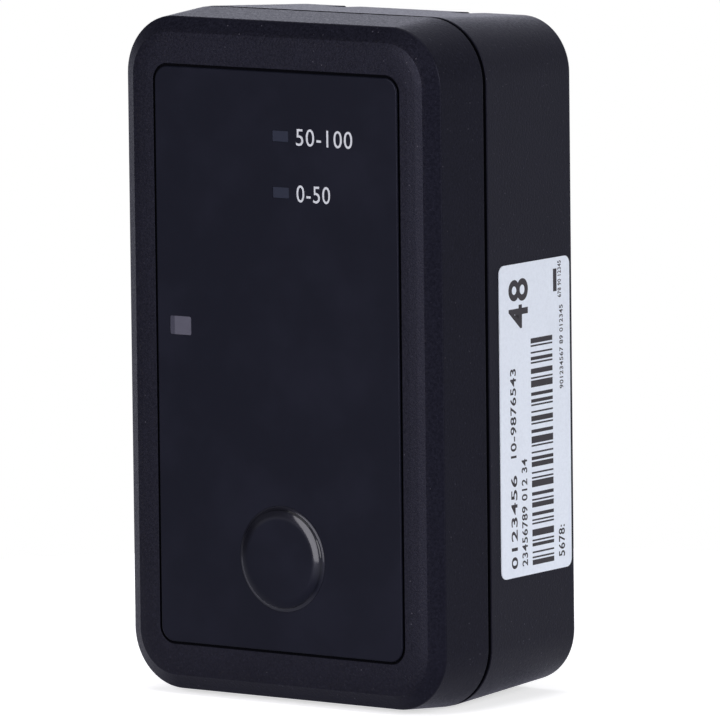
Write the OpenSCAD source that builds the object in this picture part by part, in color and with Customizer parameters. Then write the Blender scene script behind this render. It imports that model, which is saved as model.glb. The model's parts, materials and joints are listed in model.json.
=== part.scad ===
// Pocket GPS tracker in a two-part moulded housing.
// It stands on its lower end: X is its width, Y its depth with the film face
// towards -Y, and Z its height. Lengths are millimetres.
// Depths are counted from the front of the film, heights from the middle.

/* [Battery] */
// Diameter of a cell
cell_d = 16.8; // [14:0.1:20]
// Length of a cell without its cap
cell_l = 33.2; // [26:0.1:42]
// Gap between cells
cell_gap = 0.3; // [0.2:0.05:1]

/* [Housing] */
// Room from the outer cells to the side walls, at the parting line
side_room = 1; // [0.9:0.05:3]
// Room above the SIM holder, below the upper antenna
spare_h = 12.5; // [2:0.1:30]
// Thickness of the housing walls
wall = 1.9; // [1.6:0.05:2.3]
// Thickness of the front wall behind the film
front_wall = 2; // [1.6:0.05:2.6]
// Thickness of the back wall
back_wall = 2.2; // [1.8:0.1:3]
// Corner radius at the parting line
corner_r = 9.1; // [8:0.1:10.5]
// Open width of the parting line
seam_gap = 0.8; // [0.4:0.05:1]
// How far the parting line is cut in
seam_cut = 1; // [0.6:0.05:1.2]
// Draw-in of the front walls, from the parting line to the bevel
front_draft = 0.7; // [0.3:0.05:1]
// Draw-in of the rear walls, from the parting line to the back
rear_draft = 1.3; // [0.6:0.05:1.5]
// Width of the front bevel, seen from the front
bevel_w = 2.15; // [1:0.05:2.6]
// Depth of the front bevel
bevel_d = 1.45; // [0.8:0.05:1.8]
// Fall of the face from the film to the bevel
face_fall = 0.25; // [0:0.05:0.3]
// Radius of the rear edge
back_edge_r = 0.8; // [0.4:0.1:1]

/* [Film] */
// Width of the housing's frame beside the film
frame_w = 6.95; // [6:0.05:8.4]
// Height of the housing's frame above and below the film
frame_h = 7.65; // [6.6:0.05:9.4]
// Thickness of the film
film_t = 0.45; // [0.35:0.05:0.6]
// Corner radius of the film
film_r = 2.2; // [1.5:0.1:4]
// Gap round the film
film_gap = 0.33; // [0.2:0.01:0.45]
// How far the film stands above the housing
film_rise = 0.1; // [0:0.05:0.15]
// Broken edge of the film
film_break = 0.12; // [0.05:0.01:0.15]

/* [Lamp windows] */
// Width of a lamp window
lamp_w = 2.85; // [2.4:0.05:3.4]
// Height of a lamp window
lamp_h = 1.6; // [1.2:0.05:2]
// Sideways place of the lamps from the middle
lamp_x = 0.9; // [-4:0.05:4]
// Distance of the upper lamp below the film's upper edge
lamp_drop = 9.05; // [4:0.05:12]
// Spacing of the two lamps
lamp_pitch = 7.95; // [6:0.05:9]

/* [Sensor window] */
// Width of the sensor window
sensor_w = 3.8; // [3.4:0.05:4.4]
// Height of the sensor window
sensor_h = 2.7; // [2.4:0.05:3.4]
// Distance of the sensor from the film's left edge
sensor_edge = 4.15; // [3:0.05:6]
// Height of the sensor above the middle
sensor_z = 4.25; // [0:0.05:8]

/* [Key] */
// Diameter of the key at its foot
key_d = 15; // [13:0.1:16]
// Height of the key above the film
key_rise = 0.66; // [0.5:0.02:0.9]
// Width of the key's sloping rim
key_rim = 1.6; // [1.2:0.05:1.9]
// Sideways place of the key from the middle
key_x = 0.45; // [-4:0.05:4]
// Distance of the key above the film's lower edge
key_low = 13.2; // [10:0.05:16]
// Travel of the key
key_travel = 0.3; // [0.2:0.05:0.35]
// Gap between the key and the film
key_gap = 0.08; // [0.06:0.01:0.15]

/* [Satellite antenna] */
// Width of the patch antenna
patch_w = 18; // [15:0.5:20]
// Thickness of the patch antenna
patch_t = 3.6; // [3:0.1:4.5]
// Sideways place of the patch antenna from the middle
patch_x = 6; // [4:0.1:8]

/* [Case screws] */
// Distance of a screw from the side and the end of the housing
screw_inset = 7.2; // [7:0.1:8.4]
// Diameter of a screw's shank
screw_d = 2.5; // [2:0.1:2.9]
// Diameter of a screw's head
screw_head_d = 4.6; // [4.2:0.1:5.3]
// Height of a screw's head
screw_head_h = 1.8; // [1.4:0.1:2.2]
// Diameter of a threaded insert
insert_d = 4; // [3.8:0.1:4.6]
// Length of a threaded insert
insert_l = 5; // [4:0.1:5.8]

/* [Side label] */
// Length of the label, up the housing
label_l = 44.3; // [36:0.1:54]
// Distance of the label above the lower end
label_low = 18.2; // [12:0.1:24]
// Distance of the label from the parting line
label_gap = 2.35; // [1:0.05:5]
// Distance of the label from the back face
label_edge = 1.2; // [1.1:0.05:4]
// Thickness of the label
label_t = 0.12; // [0.08:0.01:0.2]
// Corner radius of the label
label_r = 1.2; // [0.6:0.1:3]

/* [Hidden] */

$fn = 64;
// Overrun of every cut past the faces it opens
over = 0.5;
// Clearance between fitted parts that don't move
fit = 0.02;
// Clearance between loose parts
loose = 0.1;

// Front wall, then the patch antenna on its tape, then the board
inner_front = film_t + front_wall;
patch_pad_w = 12;
patch_pad_t = 0.15;
patch_room = 0.5;
tape_t = 0.3;
board_depth = inner_front + patch_room + patch_pad_t + patch_t + tape_t;
board_t = 1.2;
board_back = board_depth + board_t;
patch_front = board_depth - tape_t - patch_t;

// The parting line lies behind the board
seam_room = 2.95;
seam_depth = board_back + seam_room;
seam_front = seam_depth - seam_gap / 2;
seam_back = seam_depth + seam_gap / 2;
seam_break = 0.2;
ridge_front = seam_front - seam_break;
ridge_back = seam_back + seam_break;

// Gasket and its groove in the rim
gasket_inset = 2.1;
gasket_w = 1.1;
groove_depth = 1.2;
groove_floor = seam_depth - groove_depth;
gasket_t = 0.7;
gasket_slack = 0.05;
rim_lip = 0.8;
rim_w = gasket_inset + gasket_w + rim_lip;
rim_t = 2.5;

// Holder and cells behind the board, then the foam pad and the back wall
holder_lift = 3.8;
holder_plate_t = 1;
cell_slack = 0.2;
holder_front = board_back + holder_lift;
holder_back = holder_front + holder_plate_t;
cell_front = holder_back + cell_slack;
cell_depth = cell_front + cell_d / 2;
pad_gap = 0.1;
pad_t = 1.2;
inner_back = cell_front + cell_d + pad_gap + pad_t;
body_d = inner_back + back_wall;

// The row of cells sets the width
cell_pitch = cell_d + cell_gap;
half_w = cell_pitch + cell_d / 2 + side_room + wall;
body_w = 2 * half_w;

// Screw bosses and wells
boss_wall = 1.2;
boss_r = insert_d / 2 + boss_wall;
well_gap = 0.4;
well_r = screw_head_d / 2 + well_gap;
well_wall = 1;
seat_rise = 5.35;
seat_depth = seam_depth + seat_rise;
screw_play = 0.2;
screw_reach = seat_rise + insert_l - 4 * loose;
socket_d = 2;
socket_t = 1;
gusset_t = 1;

// The wells, the cells with their contacts, the SIM holder and the upper
// antenna are stacked up the housing, and set its height
well_room = 0.8;
holder_low = screw_inset + well_r + well_wall + well_room;
holder_end_t = 1.6;
contact_t = 0.4;
spring_l = 2.2;
cap_r = 3;
cap_l = 1;
holder_l = 2 * holder_end_t + 2 * contact_t + spring_l + cell_l + cap_l;
sim_gap = 3.1;
sim_h = 15;
carrier_h = 9;
carrier_top = 5.7;
body_h = holder_low + holder_l + sim_gap + sim_h + spare_h + carrier_h + carrier_top;
half_h = body_h / 2;
screw_x = half_w - screw_inset;
screw_z = half_h - screw_inset;

total_d = body_d + key_rise;
film_y = key_rise - total_d / 2;

// Film and face
film_w = body_w - 2 * frame_w;
film_h = body_h - 2 * frame_h;
recess_w = film_w + 2 * film_gap;
recess_h = film_h + 2 * film_gap;
recess_r = film_r + film_gap;
face_inset = frame_w - film_gap;
bevel_front = film_rise + face_fall;
bevel_back = bevel_front + bevel_d;

// Lamps, sensor and their light guides
window_ledge = 0.3;
window_r = 0.3;
guide_flange = 0.6;
guide_flange_t = 0.7;
guide_gap = 0.1;
led_w = 2;
led_h = 1.25;
led_t = 0.7;
lamp_z = film_h / 2 - lamp_drop;
sensor_x = sensor_edge - film_w / 2;
sensor_sink = 1;
sensor_chip_w = 2.2;

// Key, its plunger and the switch
key_z = key_low - film_h / 2;
key_skin = 0.45;
key_spare = 0.2;
key_pocket = key_travel + key_spare;
key_pocket_gap = 0.3;
plunger_side = 0.25;
plunger_r = key_d / 2 - key_rim - key_skin - plunger_side;
plunger_play = 0.08;
plunger_flange_w = 1.2;
plunger_flange_r = plunger_r + plunger_flange_w;
plunger_flange_t = 0.75;
plunger_stop_gap = 0.3;
plunger_back = inner_front + plunger_stop_gap;
post_r = 1.5;
stem_r = 1.5;
stem_play = 0.08;
stem_rise = 0.8;
stem_depth = 0.9;
switch_w = 6;
switch_t = 1.9;
switch_front = board_depth - switch_t;
switch_bore = stem_depth + key_travel + key_spare;

// Board outline and its screws
board_gap = 0.35;
board_hole_r = 1.1;
board_post_r = 2.3;
board_bolt_r = 0.95;
board_bolt_l = 5;
board_head_r = 1.9;
board_head_t = 1.3;
drive_w = 1.5;
drive_cut = 0.5;
drive_t = 0.7;
board_screw_side = 7.9;
board_screw_end = 16.7;
board_screw_x = half_w - board_screw_side;
board_screw_z = half_h - board_screw_end;

// Parts on the board
patch_gap = 7.55;
patch_z = lamp_z - lamp_pitch - patch_gap - patch_w / 2;
chip_big_w = 7;
chip_small_w = 4;
chip_t = 0.9;
chip_gap = 2.5;
chip_drop = 7;
chip_step = 6.5;
chip_x = patch_x - patch_w / 2 - chip_gap - chip_big_w / 2;
chip_z = sensor_z - chip_drop;
can_w = 24;
can_h = 22;
can_t = 2.6;
can_skin = 0.2;
sim_w = 17;
sim_t = 1.9;
sim_skin = 0.4;
sim_x = 9;
card_w = 12;
card_h = 15;
card_t = 0.76;
card_out = 2;
card_gap = 0.05;

// Antenna carrier and foil
carrier_gap = 2.5;
carrier_w = 2 * (screw_x - well_r - well_wall - carrier_gap);
carrier_t = 11;
carrier_wall = 1.2;
carrier_z = half_h - carrier_top - carrier_h / 2;
foil_t = 0.2;
foil_edge = 0.8;

// Battery holder and contacts
holder_gap = 0.3;
holder_w = body_w - 2 * rim_w - 2 * holder_gap;
holder_z = holder_low - half_h;
holder_top = holder_z + holder_l;
holder_end_cut = 1.8;
holder_end_h = cell_d - holder_end_cut;
cradle_h = 4.4;
cell_edge = 0.6;
contact_edge = 3.4;
contact_w = cell_d - 2 * contact_edge;
spring_base_r = 3.5;
spring_top_r = 2.2;
spring_wire = 0.6;
tail_w = 2;
leg_r = 2;
leg_edge = 3.6;
leg_x = holder_w / 2 - leg_edge;
leg_low = holder_z + holder_l / 4;
leg_high = holder_top - holder_l / 4;
spring_z = holder_z + holder_end_t;
cell_z = spring_z + contact_t + spring_l;
tab_z = cell_z + cell_l + cap_l;
can_z = (holder_z + holder_top) / 2;
sim_z = holder_top + sim_gap + sim_h / 2;

// Foam pad
pad_edge = 2.1;
pad_w = holder_w - 2 * pad_edge;
pad_end = 4.6;
pad_h = cell_l - 2 * pad_end;

// Latch notches in the upper rear edge
notch_w = 3;
notch_x = 11;
notch_d = 5;
notch_t = 1;

// Side label
label_w = body_d - label_edge - ridge_back - label_gap;
label_depth = ridge_back + label_gap + label_w / 2;
label_z = label_low + label_l / 2 - half_h;

// Draft of the walls at any depth
function front_inset(d) = front_draft * (ridge_front - d) / (ridge_front - bevel_back);
function rear_inset(d) = rear_draft * (d - ridge_back) / (body_d - ridge_back);
draft_angle = atan(rear_draft / (body_d - ridge_back));

// Points of the rounded rear edge, as an inset and a depth
back_edge_steps = 5;
back_edge = [for (i = [0 : back_edge_steps])
    let (a = 90 * i / back_edge_steps)
    [rear_inset(body_d - back_edge_r) + back_edge_r * (1 - cos(a)),
     body_d - back_edge_r * (1 - sin(a))]];

front_outer = concat(
    [[face_inset, film_rise], [front_draft + bevel_w, bevel_front], [front_draft, bevel_back]],
    [[0, ridge_front], [seam_break, seam_front], [seam_cut, seam_front], [seam_cut, seam_depth]]);
rear_outer = concat(
    [[seam_cut, seam_depth], [seam_cut, seam_back], [seam_break, seam_back], [0, ridge_back]],
    back_edge);
front_inner = [[front_draft + wall, inner_front],
    [front_inset(seam_depth - rim_t) + wall, seam_depth - rim_t],
    [rim_w, seam_depth - rim_t], [rim_w, seam_depth + over]];
rear_inner = [[rim_w, seam_depth - over], [rim_w, seam_depth + rim_t],
    [rear_inset(seam_depth + rim_t) + wall, seam_depth + rim_t],
    [rear_inset(inner_back) + wall, inner_back]];

housing_colour = [0.13, 0.13, 0.14];
film_colour = [0.1, 0.1, 0.12];
board_colour = [0.05, 0.3, 0.15];
metal_colour = [0.75, 0.76, 0.78];
brass_colour = [0.8, 0.62, 0.3];

module placed() translate([0, film_y, half_h]) children();

// A cylinder along the depth, from one depth to another
module rod(r, d0, d1) translate([0, d0, 0]) rotate([-90, 0, 0]) cylinder(r = r, h = d1 - d0);

// A block centred on the middle line, from one depth to another
module block(w, h, d0, d1) translate([-w / 2, d0, -h / 2]) cube([w, d1 - d0, h]);

// A block with round corners, seen from the front
module round_block(w, h, r, d0, d1) {
    block(w - 2 * r, h, d0, d1);
    block(w, h - 2 * r, d0, d1);
    for (x = [-1, 1], z = [-1, 1])
        translate([x * (w / 2 - r), 0, z * (h / 2 - r)]) rod(r, d0, d1);
}

// The housing outline drawn through a profile of insets and depths: two prisms
// make the straight walls and four turned posts make the corners, so every
// drafted wall and bevel runs round the corners as it does in the mould
module outline_solid(profile) {
    last = len(profile) - 1;
    linear_extrude(height = body_h - 2 * corner_r, center = true)
        polygon(concat([for (p = profile) [half_w - p[0], p[1]]],
                       [for (i = [last : -1 : 0]) [profile[i][0] - half_w, profile[i][1]]]));
    rotate([0, 90, 0]) linear_extrude(height = body_w - 2 * corner_r, center = true)
        polygon(concat([for (p = profile) [half_h - p[0], p[1]]],
                       [for (i = [last : -1 : 0]) [profile[i][0] - half_h, profile[i][1]]]));
    for (x = [-1, 1], z = [-1, 1])
        translate([x * (half_w - corner_r), 0, z * (half_h - corner_r)]) rotate([-90, 0, 0])
            rotate_extrude() polygon(concat([[0, profile[0][1]]],
                [for (p = profile) [corner_r - p[0], p[1]]], [[0, profile[last][1]]]));
}

// A ring that follows the housing outline
module outline_ring(inset, w, d0, d1) difference() {
    outline_solid([[inset, d0], [inset, d1]]);
    outline_solid([[inset + w, d0 - over], [inset + w, d1 + over]]);
}

module at_screws() for (x = [-1, 1], z = [-1, 1]) translate([x * screw_x, 0, z * screw_z]) children();

// Ties from each screw boss into the side and end walls round it
module boss_ties(inset, d0, d1) for (x = [-1, 1], z = [-1, 1]) {
    reach = screw_inset - inset;
    translate([x * (screw_x + reach / 2), 0, z * screw_z]) block(reach, gusset_t, d0, d1);
    translate([x * screw_x, 0, z * (screw_z + reach / 2)]) block(gusset_t, reach, d0, d1);
}

module at_board_screws() for (x = [-1, 1], z = [-1, 1])
    translate([x * board_screw_x, 0, z * board_screw_z]) children();

module at_lamps() for (i = [0, 1]) translate([lamp_x, 0, lamp_z - i * lamp_pitch]) children();

module at_cells() for (i = [-1 : 1]) translate([i * cell_pitch, 0, 0]) children();

module front_housing() color(housing_colour) placed() difference() {
    union() {
        difference() {
            outline_solid(front_outer);
            outline_solid(front_inner);
        }
        at_screws() rod(boss_r, inner_front, seam_depth);
        boss_ties(front_draft + wall / 2, inner_front, seam_depth - rim_t);
        at_board_screws() rod(board_post_r, inner_front, board_depth);
        // Gussets tie each board post to the side wall
        for (x = [-1, 1], z = [-1, 1])
            translate([x * (half_w + board_screw_x) / 2, 0, z * board_screw_z])
                block(half_w - board_screw_x - front_draft - wall, gusset_t, inner_front, board_depth);
    }
    // Recess of the film
    round_block(recess_w, recess_h, recess_r, -over, film_t);
    // Pocket and bore of the key
    translate([key_x, 0, key_z]) {
        rod(key_d / 2 + key_pocket_gap, film_t - over, film_t + key_pocket);
        rod(plunger_r + plunger_play, film_t, inner_front + over);
    }
    at_lamps()
        block(lamp_w - 2 * window_ledge, lamp_h - 2 * window_ledge, film_t - over, inner_front + over);
    translate([sensor_x, 0, sensor_z])
        block(sensor_w - 2 * window_ledge, sensor_h - 2 * window_ledge, film_t - over, inner_front + over);
    // Gasket groove
    outline_ring(gasket_inset - gasket_slack, gasket_w + 2 * gasket_slack, groove_floor, seam_depth + over);
    at_screws() {
        rod(insert_d / 2 + fit, seam_depth - insert_l, seam_depth + over);
        rod(screw_d / 2 + screw_play, seam_depth - insert_l - screw_d, seam_depth + over);
    }
    at_board_screws() rod(board_bolt_r + fit, board_back - board_bolt_l - loose, board_depth + over);
}

module front_film() color(film_colour) placed() difference() {
    union() {
        round_block(film_w, film_h, film_r, film_break, film_t);
        round_block(film_w - 2 * film_break, film_h - 2 * film_break, film_r - film_break, 0, film_t);
    }
    translate([key_x, 0, key_z]) rod(key_d / 2 + key_gap, -over, film_t + over);
    at_lamps() block(lamp_w, lamp_h, -over, film_t + over);
    translate([sensor_x, 0, sensor_z]) round_block(sensor_w, sensor_h, window_r, -over, film_t + over);
}

module lamp_windows() color([0.2, 0.22, 0.26]) placed()
    at_lamps() block(lamp_w - 2 * fit, lamp_h - 2 * fit, fit, film_t);

module sensor_window() color([0.4, 0.4, 0.42]) placed() translate([sensor_x, 0, sensor_z])
    round_block(sensor_w - 2 * fit, sensor_h - 2 * fit, window_r - fit, fit, film_t);

// The key's section: a flat top, an S-shaped rim and a thin foot in the film
key_rim_steps = 8;
key_outer = [for (i = [0 : key_rim_steps])
    let (t = i / key_rim_steps)
    [key_d / 2 - key_rim * t, -key_rise * (1 - cos(180 * t)) / 2]];

module key_cap() color(film_colour) placed() translate([key_x, 0, key_z]) rotate([-90, 0, 0]) difference() {
    rotate_extrude() polygon(concat([[0, film_t], [key_d / 2, film_t]], key_outer, [[0, -key_rise]]));
    translate([0, 0, key_skin - key_rise])
        cylinder(r = key_d / 2 - key_rim - key_skin, h = film_t + key_rise + over);
}

module key_plunger() color([0.85, 0.85, 0.83]) placed() translate([key_x, 0, key_z]) {
    rod(plunger_r, key_skin - key_rise, plunger_back);
    rod(plunger_flange_r, plunger_back, plunger_back + plunger_flange_t);
    rod(post_r, plunger_back, switch_front - stem_rise);
}

module switch_stem() color([0.7, 0.15, 0.12]) placed() translate([key_x, 0, key_z])
    rod(stem_r, switch_front - stem_rise, switch_front + stem_depth);

module switch_body() color([0.2, 0.2, 0.2]) placed() translate([key_x, 0, key_z]) difference() {
    block(switch_w, switch_w, switch_front, board_depth);
    rod(stem_r + stem_play, switch_front - over, switch_front + switch_bore);
}

module lamp_light_guides() color([0.85, 0.9, 0.92]) placed() at_lamps() {
    w = lamp_w - 2 * window_ledge - 2 * guide_gap;
    h = lamp_h - 2 * window_ledge - 2 * guide_gap;
    block(w, h, film_t + guide_gap, board_depth - led_t - guide_gap);
    block(w + 2 * guide_flange, h + 2 * guide_flange, inner_front, inner_front + guide_flange_t);
}

module sensor_light_guide() color([0.85, 0.9, 0.92]) placed() translate([sensor_x, 0, sensor_z]) {
    w = sensor_w - 2 * window_ledge - 2 * guide_gap;
    h = sensor_h - 2 * window_ledge - 2 * guide_gap;
    block(w, h, film_t + sensor_sink, board_depth - led_t - guide_gap);
    block(w + 2 * guide_flange, h + 2 * guide_flange, inner_front, inner_front + guide_flange_t);
}

module status_leds() color([0.9, 0.9, 0.8]) placed() at_lamps()
    block(led_w, led_h, board_depth - led_t, board_depth);

module light_sensor() color([0.15, 0.15, 0.15]) placed() translate([sensor_x, 0, sensor_z])
    block(sensor_chip_w, sensor_chip_w, board_depth - led_t, board_depth);

module main_board() color(board_colour) placed() difference() {
    round_block(2 * (half_w - rim_w - board_gap), 2 * (half_h - rim_w - board_gap), corner_r - rim_w,
                board_depth, board_back);
    at_screws() rod(boss_r + board_gap, board_depth - over, board_back + over);
    // Each corner outside its boss is cut away
    for (x = [-1, 1], z = [-1, 1])
        translate([x * (screw_x + screw_inset / 2), 0, z * (screw_z + screw_inset / 2)])
            block(screw_inset, screw_inset, board_depth - over, board_back + over);
    at_board_screws() rod(board_hole_r, board_depth - over, board_back + over);
}

module board_screws() color(metal_colour) placed() at_board_screws() difference() {
    union() {
        rod(board_bolt_r, board_back - board_bolt_l, board_back);
        rod(board_head_r, board_back, board_back + board_head_t);
    }
    for (a = [0, 90]) rotate([0, a, 0])
        block(2 * drive_w, drive_cut, board_back + board_head_t - drive_t,
              board_back + board_head_t + over);
}

module antenna_tape() color([0.9, 0.88, 0.8]) placed() translate([patch_x, 0, patch_z])
    block(patch_w, patch_w, board_depth - tape_t, board_depth);

module satellite_antenna() color([0.72, 0.66, 0.55]) placed() translate([patch_x, 0, patch_z]) {
    block(patch_w, patch_w, patch_front, board_depth - tape_t);
    block(patch_pad_w, patch_pad_w, patch_front - patch_pad_t, patch_front);
}

module processor_chips() color([0.1, 0.1, 0.1]) placed() translate([chip_x, 0, chip_z]) {
    block(chip_big_w, chip_big_w, board_depth - chip_t, board_depth);
    for (i = [1, 2]) translate([0, 0, -i * chip_step])
        block(chip_small_w, chip_small_w, board_depth - chip_t, board_depth);
}

module radio_shield() color(metal_colour) placed() translate([0, 0, can_z]) difference() {
    block(can_w, can_h, board_back, board_back + can_t);
    block(can_w - 2 * can_skin, can_h - 2 * can_skin, board_back - over,
          board_back + can_t - can_skin);
}

module sim_holder() color(metal_colour) placed() translate([sim_x, 0, sim_z]) difference() {
    block(sim_w, sim_h, board_back, board_back + sim_t);
    translate([-sim_skin * 2, 0, 0])
        block(sim_w, card_w + 2 * card_gap, board_back + sim_skin,
              board_back + sim_skin + card_t + card_gap);
}

module sim_card() color([0.9, 0.9, 0.9]) placed()
    translate([sim_x - sim_w / 2 + card_h / 2 - card_out, 0, sim_z])
        block(card_h, card_w, board_back + sim_skin, board_back + sim_skin + card_t);

module antenna_carrier() color([0.25, 0.25, 0.27]) placed() translate([0, 0, carrier_z]) difference() {
    block(carrier_w, carrier_h, board_back, board_back + carrier_t);
    block(carrier_w - 2 * carrier_wall, carrier_h - 2 * carrier_wall, board_back - over,
          board_back + carrier_t - carrier_wall);
}

module cellular_antenna() color([0.8, 0.55, 0.25]) placed() translate([0, 0, carrier_z])
    block(carrier_w - 2 * foil_edge, carrier_h - 2 * foil_edge, board_back + carrier_t,
          board_back + carrier_t + foil_t);

// A cell stands along the height at its place in the row
module cell_rod(r, z0, z1) translate([0, cell_depth, z0]) cylinder(r = r, h = z1 - z0);

module battery_holder() color([0.16, 0.16, 0.17]) placed() {
    difference() {
        translate([0, 0, (holder_z + holder_top) / 2])
            block(holder_w, holder_l, holder_front, holder_back + cradle_h);
        at_cells() cell_rod(cell_d / 2 + cell_slack, spring_z, tab_z + contact_t);
        contact_slots();
    }
    for (z = [holder_z + holder_end_t / 2, holder_top - holder_end_t / 2])
        translate([0, 0, z]) block(holder_w, holder_end_t, holder_back, holder_back + holder_end_h);
    for (x = [-1, 1], z = [leg_low, leg_high])
        translate([x * leg_x, 0, z]) rod(leg_r, board_back, holder_front);
}

// Room for the contact plates and their tails, just inside each end wall
module contact_slots() for (z = [spring_z, tab_z])
    at_cells() translate([0, 0, z + contact_t / 2])
        block(contact_w + 2 * loose, contact_t, holder_front - over, holder_back + cradle_h + over);

module contact_plate(z) translate([0, 0, z + contact_t / 2]) {
    block(contact_w, contact_t, holder_back - holder_plate_t, cell_depth + contact_w / 2);
    block(tail_w, contact_t, board_back, holder_front);
}

module spring_contacts() color(metal_colour) placed() at_cells() {
    contact_plate(spring_z);
    translate([0, cell_depth, spring_z + contact_t]) difference() {
        cylinder(r1 = spring_base_r, r2 = spring_top_r, h = spring_l);
        translate([0, 0, -over]) cylinder(r = spring_top_r - spring_wire, h = spring_l + 2 * over);
    }
}

module tab_contacts() color(metal_colour) placed() at_cells() contact_plate(tab_z);

module battery_cell(i) color([0.3, 0.45, 0.65]) placed() translate([i * cell_pitch, cell_depth, cell_z]) {
    rotate_extrude() polygon([[0, 0], [cell_d / 2 - cell_edge, 0], [cell_d / 2, cell_edge],
        [cell_d / 2, cell_l - cell_edge], [cell_d / 2 - cell_edge, cell_l],
        [cap_r, cell_l], [cap_r, cell_l + cap_l], [0, cell_l + cap_l]]);
}

module cell_left() battery_cell(-1);
module cell_middle() battery_cell(0);
module cell_right() battery_cell(1);

module foam_pad() color([0.2, 0.2, 0.22]) placed() translate([0, 0, cell_z + cell_l / 2])
    block(pad_w, pad_h, cell_depth + cell_d / 2 + pad_gap, inner_back);

module housing_gasket() color([0.5, 0.5, 0.52]) placed()
    outline_ring(gasket_inset, gasket_w, groove_floor, groove_floor + gasket_t);

module rear_housing() color(housing_colour) placed() difference() {
    union() {
        difference() {
            outline_solid(rear_outer);
            outline_solid(rear_inner);
        }
        // The tongue that presses on the gasket
        outline_ring(gasket_inset, gasket_w, groove_floor + gasket_t, seam_depth + rim_t / 2);
        at_screws() {
            rod(boss_r, seam_depth, seat_depth);
            rod(well_r + well_wall, seat_depth - wall, body_d - back_wall / 2);
        }
        boss_ties(rear_draft + wall / 2, seat_depth - wall, body_d - back_wall / 2);
    }
    at_screws() {
        rod(screw_d / 2 + screw_play, seam_depth - over, seat_depth + over);
        rod(well_r, seat_depth, body_d + over);
    }
    for (x = [-1, 1])
        translate([x * notch_x, 0, half_h - rear_draft])
            block(notch_w, 2 * notch_t, body_d - notch_d, body_d + over);
}

module threaded_inserts() color(brass_colour) placed() at_screws() difference() {
    rod(insert_d / 2, seam_depth - insert_l, seam_depth - fit);
    rod(screw_d / 2 + fit, seam_depth - insert_l - over, seam_depth + over);
}

module case_screws() color(metal_colour) placed() at_screws() difference() {
    union() {
        rod(screw_d / 2, seat_depth - screw_reach, seat_depth);
        rod(screw_head_d / 2, seat_depth, seat_depth + screw_head_h);
    }
    translate([0, seat_depth + screw_head_h - socket_t, 0]) rotate([-90, 0, 0])
        cylinder(d = socket_d, h = socket_t + over, $fn = 6);
}

module side_label() color([0.9, 0.92, 0.94]) placed()
    translate([half_w - rear_inset(label_depth), label_depth, label_z]) rotate([0, 0, draft_angle]) {
        for (s = [[label_w - 2 * label_r, label_l], [label_w, label_l - 2 * label_r]])
            translate([0, -s[0] / 2, -s[1] / 2]) cube([label_t, s[0], s[1]]);
        for (y = [-1, 1], z = [-1, 1])
            translate([0, y * (label_w / 2 - label_r), z * (label_l / 2 - label_r)])
                rotate([0, 90, 0]) cylinder(r = label_r, h = label_t);
    }

front_housing();
front_film();
lamp_windows();
sensor_window();
key_cap();
key_plunger();
switch_stem();
switch_body();
lamp_light_guides();
sensor_light_guide();
status_leds();
light_sensor();
main_board();
board_screws();
satellite_antenna();
antenna_tape();
processor_chips();
radio_shield();
sim_holder();
sim_card();
antenna_carrier();
cellular_antenna();
battery_holder();
cell_left();
cell_middle();
cell_right();
spring_contacts();
tab_contacts();
foam_pad();
housing_gasket();
rear_housing();
threaded_inserts();
case_screws();
side_label();
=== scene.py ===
# %% [markdown]
# # A pocket tracker, dressed for its picture
# The part is a palm-sized box in black plastic. Two moulded shells meet at a seam that
# runs round the sides. The front carries a dark film with two lamp windows, a sensor
# window and one round key, and a paper label sits on the right wall. OpenSCAD has made
# every solid, and this script gives them their looks.
#
# ## The frame
# The imported model comes in as a fixed frame, in metres, with x to the right, y from front
# to back and z upwards.

# %% Load the frame
import json
import math
import bmesh
import bpy
from mathutils import Matrix, Vector


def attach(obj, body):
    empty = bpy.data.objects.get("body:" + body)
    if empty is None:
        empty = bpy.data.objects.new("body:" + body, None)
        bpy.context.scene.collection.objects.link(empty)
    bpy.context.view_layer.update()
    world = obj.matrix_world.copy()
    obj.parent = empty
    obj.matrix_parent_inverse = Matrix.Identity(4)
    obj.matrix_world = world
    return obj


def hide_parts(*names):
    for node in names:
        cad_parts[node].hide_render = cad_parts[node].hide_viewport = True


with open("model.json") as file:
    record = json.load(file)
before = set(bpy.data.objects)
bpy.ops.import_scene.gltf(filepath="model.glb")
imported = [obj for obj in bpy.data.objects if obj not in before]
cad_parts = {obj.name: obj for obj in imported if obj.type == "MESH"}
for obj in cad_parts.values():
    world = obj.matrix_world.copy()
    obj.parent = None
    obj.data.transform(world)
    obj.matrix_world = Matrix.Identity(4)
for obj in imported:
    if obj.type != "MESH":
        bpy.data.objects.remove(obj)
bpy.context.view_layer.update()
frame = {"nodes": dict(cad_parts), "record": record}

# %% [markdown]
# ## Sizes
# A moulding is drawn from its outline inwards, so places here are given the same way: an
# inset from the outline, a depth behind the front of the film, and a height above the
# middle. All are in millimetres, and one function turns them into the frame's metres.

# %% Sizes that the pieces share
MM = 0.001                                # a millimetre in metres
HALF_W, HALF_H, BODY_D = 28.4, 48.7, 33.5
CORNER = 9.1                              # radius of the outline's corners
CORNER_X, CORNER_Z = HALF_W - CORNER, HALF_H - CORNER
FILM_FRONT = -16.42                       # where the film's front lies in the frame
WALL = 1.9
INNER_FRONT, INNER_BACK = 2.45, 31.3      # the inner faces of the front and back walls
BEVEL_BACK = 1.8                          # where the bevel round the face ends
SEAM = 11.15                              # where the shells touch
RIDGE_FRONT, RIDGE_BACK = 10.55, 11.75    # where each shell is widest
FRONT_DRAFT, REAR_DRAFT = 0.7, 1.3        # how far each shell's wall leans in


def at(x, depth, height):
    """A point in the frame, from millimetres about the middle of the film's front."""
    return Vector((x, FILM_FRONT + depth, HALF_H + height)) * MM


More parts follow.
